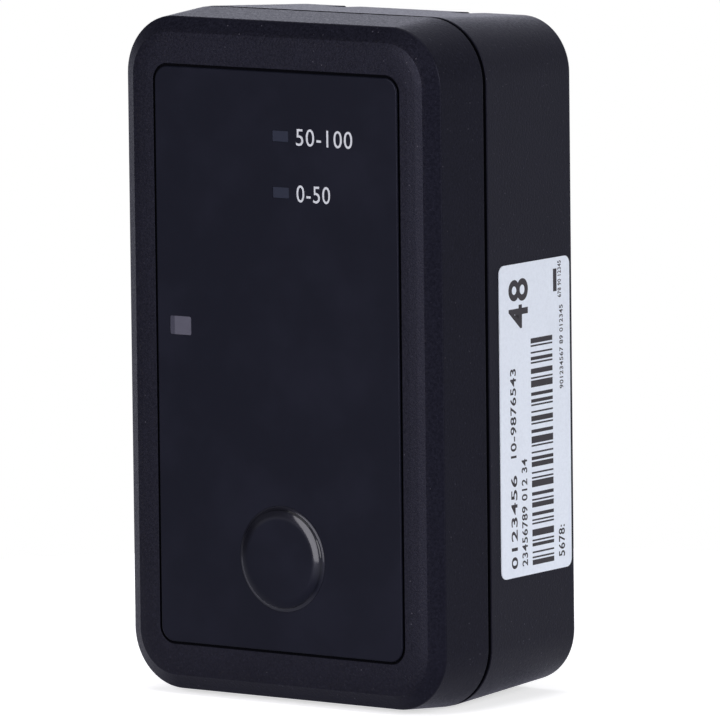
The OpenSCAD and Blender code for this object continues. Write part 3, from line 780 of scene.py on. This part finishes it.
def moulded(name, dark, light, grain=0.36, depth=0.045, rough=0.5, ior=1.45, painted_glint_strength=0.5,
            sheen=NEUTRAL_SHEEN, dust_glints_and_groove_shade=False):
    """Spark-textured plastic between two colours with painted glints; if wanted, dust, painted paler glints
    on the face and painted black shade in the seam and round the film.
    """
    finish = Finish(name, IOR=ior, Specular_Tint=sheen)
    fine = finish.noise(grain, 3, 0.6)
    cloud = finish.noise(9, 3, 0.55)
    rubs = finish.step(finish.noise(4.5, 4, 0.65), 0.62, 0.78)
    # Glints: pale specks painted into the colour as a painted highlight, and also into the bump
    glints = finish.specks(grain * 2.0, 0.2) * finish.step(finish.noise(grain * 3, 2), 0.5, 0.6)
    tone = finish.step(fine, 0.3, 0.75) * 0.55 + cloud * 0.35 + rubs * 0.18 + glints * painted_glint_strength
    roughness = finish.step(fine, 0.25, 0.75) * 0.16 + (rough - 0.1) - rubs * 0.05
    colour = finish.mixed(tone, dark, light)
    if dust_glints_and_groove_shade:
        dust = finish.specks(1.3, 0.075) * finish.step(finish.noise(6, 3), 0.48, 0.6)
        colour = finish.mixed(dust * 0.5, colour, paint(84, 82, 90))
        # On the face the grain gets paler specks: painted glints where the front light catches it
        face = 1 - finish.step(finish.along(finish.place, "Y") / MM - FILM_FRONT, 0.4, 0.8)
        painted_face_glints = finish.step(finish.noise(0.22, 3, 0.75), 0.5, 0.72)
        colour = finish.mixed(painted_face_glints * face * 0.2, colour, paint(60, 57, 56))
        # The seam and the groove round the film are painted near black and fully rough: a painted shade
        deep = finish.painted_groove_shade()
        colour = finish.mixed(deep, colour, GROOVE_PAINTED_SHADE)
        roughness = roughness * (1 - deep) + deep
    return finish.give(Base_Color=colour, Roughness=roughness,
                       Normal=finish.bump(fine + glints * 0.5, 0.8, depth))


housing_finish = moulded("housing_plastic", paint(4, 4, 9), paint(20, 20, 29), rough=0.42, ior=1.2,
                         painted_glint_strength=2.4, sheen=BLUE_SHEEN, dust_glints_and_groove_shade=True)
print("housing finish has", len(housing_finish.node_tree.nodes), "nodes")

# %% [markdown]
# ## The printed film and the key's skin
# The film is polycarbonate with a fine matt texture on its face, a shade bluer than the
# shells and smoother. It gathers faint smears where fingers press, so the smears gather
# into wide soft clouds and the roughness follows them. Where the press has drawn it down
# round the key, the texture is stretched smooth. The distance from the key's axis finds
# that rim: its upper half is painted darker, a painted shade, and a thin glossy coat
# lies where a thumb rubs it, at the upper right, and on the foot at the lower left.

# %% Film plastic
def film_finish(name, rim=False):
    """Fine matt film, blue-black, with faint smears; on the key's rim glossy, with painted shade on its upper
    half.
    """
    finish = Finish(name, IOR=1.2, Specular_Tint=BLUE_SHEEN, Coat_IOR=1.3, Coat_Roughness=0.09)
    fine = finish.noise(0.14, 2, 0.5)
    smears = finish.step(finish.noise(14, 3, 0.6), 0.42, 0.7)
    fibres = finish.step(finish.noise(1.1, 3, 0.7), 0.66, 0.8)
    tone = fine * 0.35 + smears * 0.25 + fibres * 0.1
    colour = finish.mixed(tone, paint(5, 6, 12), paint(17, 18, 28))
    if rim:
        flat = finish.node("ShaderNodeMapping", None, {
            "Vector": finish.place, "Scale": (1, 0, 1),
            "Location": (-KEY[0] * MM, 0, -(KEY[1] + HALF_H) * MM)})
        radius = finish.node("ShaderNodeVectorMath", {"operation": "LENGTH"}, {0: flat}, out="Value") / MM
        drawn = finish.step(radius, 5.5, 6.2)
        height = finish.along(flat, "Z") / MM
        side = finish.along(flat, "X") / MM * 0.5 + height * 0.86
        # The rim's upper half is painted darker: a painted shade
        colour = finish.mixed(drawn * finish.step(height, -1, 2), colour, paint(3, 3, 7))
        rubbed = (drawn - finish.step(radius, 7.05, 7.25) * 0.55) * finish.step(side, 0, 3.5)
        foot = finish.step(radius, 6.85, 7.0) * finish.step(side * -1, 0, 3)
        finish.give(Coat_Weight=rubbed + foot * 0.8)
    return finish.give(
        Base_Color=colour,
        Roughness=fine * 0.08 + smears * 0.06 + 0.27,
        Normal=finish.bump(fine, 0.3, 0.004))


film_plastic = film_finish("film_plastic")
key_skin = film_finish("key_skin", rim=True)
print("key skin has", len(key_skin.node_tree.nodes), "nodes")

# %% [markdown]
# ## Windows, print and label
# The panes are tinted film that scatters a little light: the lamps' are blue-grey and even,
# and the sensor's is a paler grey with a darker band at its left, a painted shade where the
# wall of its opening lies in shadow. Print is a flat ink, broken by tiny gaps where it sits
# on the grain.
# The label is coated paper, with faint fibres and a trace of soil.

# %% Panes
def pane_finish(name, colour, deep, shade_band_end=None):
    """Tinted film over a dark well, with an optional painted shade: a darker band at the left that ends at
    that x in mm.
    """
    finish = Finish(name, IOR=1.2, Specular_Tint=BLUE_SHEEN)
    cloud = finish.noise(1.4, 2, 0.5)
    tone = cloud * 0.5 + 0.2
    if shade_band_end is not None:
        x = finish.along(finish.place, "X") / MM
        # Left of that x the colour is painted darker: a painted shade where the wall of the opening lies in
        # shadow
        tone = tone * 0.5 + 0.6 * (1 - finish.step(x, shade_band_end - 0.08, shade_band_end + 0.08))
    return finish.give(
        Base_Color=finish.mixed(tone, colour, deep),
        Roughness=cloud * 0.2 + 0.3,
        Normal=finish.bump(finish.noise(0.16, 2), 0.2, 0.003))


window_finish = pane_finish("window_plastic", paint(35, 38, 49), paint(27, 30, 40))
sensor_finish = pane_finish("sensor_window", paint(79, 78, 88), paint(45, 45, 55), SENSOR[0] - 1.05)
print("panes:", window_finish.name, sensor_finish.name)


# %% Print and label paper
def print_finish(name, ink, worn):
    """Ink with small gaps and a slightly uneven tone."""
    finish = Finish(name, Specular_IOR_Level=0.3)
    gaps = finish.step(finish.noise(0.12, 3, 0.7), 0.6, 0.75)
    return finish.give(
        Base_Color=finish.mixed(gaps * 0.7 + finish.noise(1.5) * 0.3, ink, worn),
        Roughness=gaps * 0.2 + 0.5)


def paper_finish(name):
    """Coated white paper with fibres and a trace of soil."""
    finish = Finish(name, Specular_IOR_Level=0.35)
    fibres = finish.step(finish.noise(0.5, 5, 0.75), 0.35, 0.7)
    soil = finish.step(finish.noise(7, 4, 0.6), 0.55, 0.85)
    return finish.give(
        Base_Color=finish.mixed(fibres * 0.4 + soil * 0.45, paint(230, 236, 247), paint(213, 219, 230)),
        Roughness=fibres * 0.15 + 0.42,
        Normal=finish.bump(fibres, 0.2, 0.006))


number_finish = print_finish("number_print", paint(182, 184, 190), paint(120, 122, 128))
label_finish = paper_finish("label_paper")
ink_finish = print_finish("label_print", paint(36, 32, 35), paint(64, 60, 62))
print("print and paper:", number_finish.name, label_finish.name, ink_finish.name)

# %% [markdown]
# ## Finishes inside the box
# The pieces inside keep the shapes that OpenSCAD gave them, but each gets the finish of its
# own stuff: a green board with its copper showing through the mask, brushed and plated
# metals, foil, rubber, foam, ceramic and moulded plastics of several colours.

# %% Metals
def metal_finish(name, bright, dull, rough, along=(1, 1, 1), brush=0.3):
    """Metal with fine lines along one direction and dull patches."""
    finish = Finish(name, Metallic=1.0)
    drawn = finish.node("ShaderNodeMapping", None, {"Vector": finish.place, "Scale": along})
    lines = finish.noise(brush, 4, 0.7, drawn)
    dulled = finish.step(finish.noise(2.6, 4, 0.65), 0.45, 0.75)
    return finish.give(
        Base_Color=finish.mixed(dulled * 0.7 + lines * 0.3, bright, dull),
        Roughness=lines * 0.2 + dulled * 0.15 + (rough - 0.15),
        Normal=finish.bump(lines, 0.25, 0.01))


steel = metal_finish("steel", paint(196, 198, 202), paint(150, 152, 156), 0.34, (6, 1, 1))
brass = metal_finish("insert_brass", paint(212, 176, 98), paint(160, 122, 60), 0.35)
foil = metal_finish("foil_copper", paint(206, 132, 92), paint(150, 86, 60), 0.4, (1, 1, 5), 0.5)
cell_metal = metal_finish("cell_can", paint(176, 180, 186), paint(126, 130, 138), 0.38, (1, 1, 8), 0.4)
print("metals:", steel.name, brass.name, foil.name, cell_metal.name)


# %% Board, ceramic, rubber, foam and clear plastic
def board_finish(name):
    """Green solder mask over a web of copper tracks."""
    finish = Finish(name, Specular_IOR_Level=0.5)
    cells = finish.node("ShaderNodeTexVoronoi", {"feature": "DISTANCE_TO_EDGE"}, {
        "Vector": finish.place, "Scale": 1 / (3.2 * MM), "Randomness": 0.35})
    tracks = 1 - finish.step(cells, 0.05, 0.09)
    vias = finish.specks(2.1, 0.11)
    weave = finish.noise(0.5, 2, 0.5)
    base = finish.mixed(weave * 0.4 + tracks * 0.6, paint(18, 74, 44), paint(44, 118, 70))
    return finish.give(
        Base_Color=finish.mixed(vias, base, paint(206, 178, 110)),
        Roughness=weave * 0.15 + 0.3,
        Normal=finish.bump(tracks + vias, 0.4, 0.03))


def soft_finish(name, dark, light, size, rough, depth):
    """Rubber, foam or ceramic: an open grain of that size."""
    finish = Finish(name, Specular_IOR_Level=0.3)
    grain = finish.noise(size, 4, 0.65)
    pores = finish.step(finish.noise(size * 2.2, 3, 0.6), 0.5, 0.7)
    return finish.give(
        Base_Color=finish.mixed(grain * 0.6 + pores * 0.4, dark, light),
        Roughness=pores * 0.12 + (rough - 0.06),
        Normal=finish.bump(grain - pores * 0.5, 0.5, depth))


def clear_finish(name):
    """Clear moulded plastic with a few flow lines."""
    finish = Finish(name, Transmission_Weight=0.85, IOR=1.49)
    flow = finish.noise(1.8, 3, 0.6)
    return finish.give(
        Base_Color=finish.mixed(flow, paint(232, 240, 244), paint(206, 220, 228)),
        Roughness=finish.step(flow, 0.4, 0.7) * 0.12 + 0.06)


print("ready: board_finish, soft_finish, clear_finish")

# %% One finish for each slot of the record
finishes = {
    "board_laminate": board_finish("board_laminate"),
    "antenna_ceramic": soft_finish(
        "antenna_ceramic", paint(196, 186, 168), paint(222, 214, 198), 0.35, 0.55, 0.01),
    "soft_rubber": soft_finish("soft_rubber", paint(28, 28, 30), paint(52, 52, 55), 0.3, 0.75, 0.02),
    "foam": soft_finish("foam", paint(44, 45, 48), paint(92, 94, 98), 0.45, 0.9, 0.12),
    "clear_plastic": clear_finish("clear_plastic"),
    "housing_plastic": housing_finish, "film_plastic": film_plastic, "window_plastic": window_finish,
    "steel": steel, "insert_brass": brass, "foil_copper": foil, "cell_can": cell_metal,
    "label_paper": label_finish,
}
# Plain plastics: two colours, the grain's size and depth, the roughness and the strength of the painted
# glints
for name, dark, light, grain, depth, rough, painted_glint_strength in (
        ("white_plastic", paint(196, 196, 190), paint(224, 224, 218), 0.3, 0.006, 0.45, 0.1),
        ("red_plastic", paint(140, 26, 22), paint(180, 44, 36), 0.3, 0.006, 0.4, 0.1),
        ("grey_plastic", paint(58, 59, 62), paint(86, 87, 91), 0.3, 0.01, 0.5, 0.15),
        ("chip_plastic", paint(26, 26, 28), paint(44, 44, 47), 0.2, 0.008, 0.5, 0.15)):
    finishes[name] = moulded(name, dark, light, grain, depth, rough, painted_glint_strength=painted_glint_strength)
print("finishes:", len(finishes))

# %% [markdown]
# ## Giving each piece its finish
# The record names one material slot for every CAD node, so the kept nodes take the finish
# of their slot. The new pieces are named one by one.

# %% Put the finishes on
def dress(piece, material):
    """Leaves one material on a piece."""
    piece.data.materials.clear()
    piece.data.materials.append(material)


slots = {part["node"]: part["material_slot"] for part in frame["record"]["subparts"]}
for name, node in frame["nodes"].items():
    dress(node, finishes[slots[name]])
for piece, material in ((front_shell, housing_finish), (rear_shell, housing_finish), (film, film_plastic),
                        (key, key_skin), (sensor_pane, sensor_finish), (label, label_finish),
                        (label_print, ink_finish)):
    dress(piece, material)
for pane in lamp_panes:
    dress(pane, window_finish)
for piece in numbers:
    dress(piece, number_finish)
print("dressed", len(frame["nodes"]), "nodes")

# %% [markdown]
# ## The camera
# The picture was taken with a long lens from the right, a little above the middle. The
# numbers come from fitting the box's corners and edges to the photograph: the direction in
# degrees, a small roll, the point looked at and the distance.

# %% Place the camera
AZIMUTH, ELEVATION, ROLL = (math.radians(angle) for angle in (37.26436, 6.58531, -0.64737))
LOOK = Vector((2.857, -1.07, 47.721)) * MM
DISTANCE = 1524.337 * MM
PICTURE, FOCAL = 720, 10766.07            # the picture's width and the focal length, in pixels
SENSOR_WIDTH = 36
backwards = Vector((math.sin(AZIMUTH) * math.cos(ELEVATION),
                    -math.cos(AZIMUTH) * math.cos(ELEVATION), math.sin(ELEVATION)))
right = (-backwards).cross(Vector((0, 0, 1))).normalized()
up = right.cross(-backwards)
tilted = (math.cos(ROLL) * right + math.sin(ROLL) * up, math.cos(ROLL) * up - math.sin(ROLL) * right)

let_go()
bpy.ops.object.camera_add()
camera = bpy.context.object
camera.matrix_world = Matrix.Translation(LOOK + backwards * DISTANCE) @ Matrix(
    (*tilted, backwards)).transposed().to_4x4()
camera.data.sensor_width = SENSOR_WIDTH
camera.data.lens = FOCAL * SENSOR_WIDTH / PICTURE
camera.data.clip_start, camera.data.clip_end = 0.05, 20
bpy.context.scene.camera = camera
bpy.context.scene.view_settings.view_transform = "Standard"
print("lens", round(camera.data.lens, 1), "mm at", tuple(round(c, 3) for c in camera.location))

# %% [markdown]
# ## Floor, background and light
# The background is plain white, and only the camera sees it at full strength. Black plastic
# shows what surrounds it, so the world gives mirrored rays a studio of its own: pale
# below and behind the box, dim above and in front, dim down to the floor at the front left,
# where a black flag would stand, and bright at the upper right, where a reflector would.
# All other rays get a low even level. The floor is a small pale disc that keeps the soft
# shadow. Four soft lights stand round it: one above, a weak one behind for the top wall and
# the left bevel, one at the right for the label, and one in front, whose lower edge is the
# sharp end of the glint on the key's rim.

# %% The floor
let_go()
bpy.ops.mesh.primitive_circle_add(vertices=96, radius=155 * MM, fill_type="NGON", location=(0, 0, 0))
floor = bpy.context.object
floor.name = "floor"
ground = Finish("floor", Roughness=0.9, Specular_IOR_Level=0.0)
ground.shader.inputs["Base Color"].default_value = (0.78, 0.78, 0.8, 1)
ground.shader.inputs["Emission Strength"].default_value = 1.0
shown = ground.node("ShaderNodeLightPath", out="Is Camera Ray") * 0.62
mirrored = ground.node("ShaderNodeLightPath", out="Is Glossy Ray")
pale = shown + mirrored * 0.3
ground.give(Emission_Color=ground.node("ShaderNodeCombineColor", None, {
    "Red": pale, "Green": pale, "Blue": shown + mirrored * 0.4}))
dress(floor, ground.material)
print("floor:", round(floor.dimensions.x, 3), "m across")

# %% The world
WHITE = (1, 1, 1, 1)
PALE, DIM, BRIGHT = (0.84, 0.85, 1.0, 1), (0.23, 0.23, 0.285, 1), (1.0, 1.0, 1.15, 1)
LOW = (0.15, 0.15, 0.16, 1)
world = bpy.data.worlds.new("studio")
bpy.context.scene.world = world
world.use_nodes = True
world.node_tree.nodes.clear()
studio = Nodes(world.node_tree)
way = studio.node("ShaderNodeTexCoord", out="Generated")
x, y, z = (studio.along(way, axis) for axis in "XYZ")
high = studio.step(z, -0.03, 0.2)
behind = studio.step(y, 0.35, 0.8)
flag = studio.step(x * -1, 0.76, 0.9) * (1 - studio.step(y, -0.1, 0.2))
dim = high * (1 - behind * 0.75)
room = studio.mixed(dim + flag - dim * flag, PALE, DIM)
reflector = studio.step(x * 0.69 - y * 0.44 + z * 0.57, 0.78, 0.95)
seen = LOW
for ray, colour in (("Is Glossy Ray", studio.mixed(reflector, room, BRIGHT)),
                    ("Is Transmission Ray", WHITE), ("Is Camera Ray", WHITE)):
    seen = studio.mixed(studio.node("ShaderNodeLightPath", out=ray), seen, colour)
air = studio.node("ShaderNodeBackground", None, {"Color": seen})
studio.node("ShaderNodeOutputWorld", None, {"Surface": air})
print("the world has", len(world.node_tree.nodes), "nodes")


# %% Lamps
def softbox(name, place, aim, width, height, power, colour=(1, 1, 1)):
    """A soft rectangular light that faces a point."""
    let_go()
    bpy.ops.object.light_add(type="AREA", location=place)
    lamp = bpy.context.object
    lamp.name = name
    lamp.data.shape, lamp.data.size, lamp.data.size_y = "RECTANGLE", width, height
    lamp.data.energy, lamp.data.color = power, colour
    lamp.rotation_euler = (Vector(aim) - Vector(place)).to_track_quat("-Z", "Y").to_euler()
    return lamp


MIDDLE = (0, 0, 0.05)
lamps = [softbox("top_light", (0.0, 0.0, 0.75), MIDDLE, 0.7, 0.7, 2.4),
         softbox("back_light", (-0.45, 0.8, 0.3), (0, 0, 0.06), 0.7, 0.4, 0.62, (0.86, 0.87, 1.0)),
         softbox("right_light", (0.95, -0.1, 0.35), MIDDLE, 0.5, 0.6, 5.8),
         softbox("front_light", (-0.14, -1.0, 0.26), MIDDLE, 0.58, 0.76, 11.4, (0.98, 0.96, 1.0))]
print("lamps:", [lamp.name for lamp in lamps])
